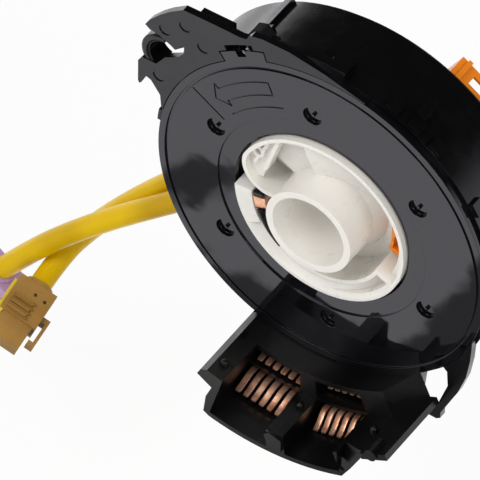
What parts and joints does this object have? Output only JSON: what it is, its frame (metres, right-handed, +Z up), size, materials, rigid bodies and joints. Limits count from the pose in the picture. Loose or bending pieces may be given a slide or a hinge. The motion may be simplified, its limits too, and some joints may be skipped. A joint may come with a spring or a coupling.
{
  "type": "steering clock spring",
  "caption": "Round case with a turning shaft hub, a connector block with blades on the column side, and sleeved leads with locking connectors on the wheel side.",
  "frame": {"origin": "on the turning axis, in the outer face of the rear cover, where the part meets the column", "axes": "+Y along the turning axis to the steering wheel, -Y to the column, +Z up, the connector block at -Z"},
  "size_m": [0.1987, 0.0715, 0.1957],
  "materials": {
    "case_black": "moulded, satin",
    "cover_black": "moulded, polished",
    "block_black": "moulded, satin",
    "blade_copper": "stamped copper alloy",
    "cable_film": "laminated film",
    "hub_white": "natural acetal",
    "rotor_grey": "moulded, satin",
    "terminal_orange": "moulded",
    "clip_black": "moulded",
    "pin_tin": "tinned",
    "hood_black": "moulded",
    "sleeve_yellow": "soft tube",
    "squib_lilac": "moulded",
    "squib_tan": "moulded",
    "lock_yellow": "moulded",
    "carrier_natural": "moulded",
    "roller_natural": "moulded"
  },
  "bodies": {
    "housing": {"case": "case_black", "rear_cover": "cover_black", "connector_block": "block_black", "left_pins_lower": "blade_copper", "left_pins_upper": "blade_copper", "right_pins_lower": "blade_copper", "right_pins_upper": "blade_copper", "flat_cable": "cable_film"},
    "rotor": {"rotor_hub": "hub_white", "rotor_plate": "rotor_grey", "terminal_holder": "terminal_orange", "link_clip": "clip_black", "ground_link": "blade_copper", "switch_connector": "terminal_orange", "switch_pins": "pin_tin", "lead_hood": "hood_black", "lead_front": "sleeve_yellow", "lead_rear": "sleeve_yellow", "squib_lilac": "squib_lilac", "squib_tan": "squib_tan"},
    "lilac_lock": {"squib_lilac_lock": "lock_yellow"},
    "tan_lock": {"squib_tan_lock": "lock_yellow"},
    "carrier": {"carrier": "carrier_natural"},
    "u_turn_roller": {"u_turn_roller": "roller_natural"},
    "idler_roller_1": {"idler_roller_1": "roller_natural"},
    "idler_roller_2": {"idler_roller_2": "roller_natural"},
    "idler_roller_3": {"idler_roller_3": "roller_natural"},
    "idler_roller_4": {"idler_roller_4": "roller_natural"},
    "idler_roller_5": {"idler_roller_5": "roller_natural"}
  },
  "joints": [
    {"name": "rotor_turn", "type": "hinge", "parent": "housing", "child": "rotor", "pos_m": [0, 0, 0], "axis": [0, 1, 0], "range_deg": [-900, 900], "deforming": ["flat_cable"]},
    {"name": "carrier_turn", "type": "hinge", "parent": "housing", "child": "carrier", "pos_m": [0, 0, 0], "axis": [0, 1, 0], "range_deg": [-384, 384]},
    {"name": "u_turn_roller_spin", "type": "hinge", "parent": "carrier", "child": "u_turn_roller", "pos_m": [0.04165, 0.012, 0], "axis": [0, 1, 0], "continuous": true},
    {"name": "idler_roller_1_spin", "type": "hinge", "parent": "carrier", "child": "idler_roller_1", "pos_m": [0.02082, 0.012, 0.03607], "axis": [0, 1, 0], "continuous": true},
    {"name": "idler_roller_2_spin", "type": "hinge", "parent": "carrier", "child": "idler_roller_2", "pos_m": [-0.02082, 0.012, 0.03607], "axis": [0, 1, 0], "continuous": true},
    {"name": "idler_roller_3_spin", "type": "hinge", "parent": "carrier", "child": "idler_roller_3", "pos_m": [-0.04165, 0.012, 0], "axis": [0, 1, 0], "continuous": true},
    {"name": "idler_roller_4_spin", "type": "hinge", "parent": "carrier", "child": "idler_roller_4", "pos_m": [-0.02082, 0.012, -0.03607], "axis": [0, 1, 0], "continuous": true},
    {"name": "idler_roller_5_spin", "type": "hinge", "parent": "carrier", "child": "idler_roller_5", "pos_m": [0.02082, 0.012, -0.03607], "axis": [0, 1, 0], "continuous": true},
    {"name": "lilac_lock_slide", "type": "slide", "parent": "rotor", "child": "lilac_lock", "axis": [0.6108, 0, 0.7918], "range_m": [0, 0.002]},
    {"name": "tan_lock_slide", "type": "slide", "parent": "rotor", "child": "tan_lock", "axis": [0, 0.9517, 0.307], "range_m": [0, 0.002]}
  ],
  "couplings": [
    {"joint": "carrier_turn", "follows": "rotor_turn", "ratio": 0.42587},
    {"joint": "u_turn_roller_spin", "follows": "rotor_turn", "ratio": -3.3945},
    {"joint": "idler_roller_1_spin", "follows": "rotor_turn", "ratio": -5.6576},
    {"joint": "idler_roller_2_spin", "follows": "rotor_turn", "ratio": -5.6576},
    {"joint": "idler_roller_3_spin", "follows": "rotor_turn", "ratio": -5.6576},
    {"joint": "idler_roller_4_spin", "follows": "rotor_turn", "ratio": -5.6576},
    {"joint": "idler_roller_5_spin", "follows": "rotor_turn", "ratio": -5.6576}
  ]
}
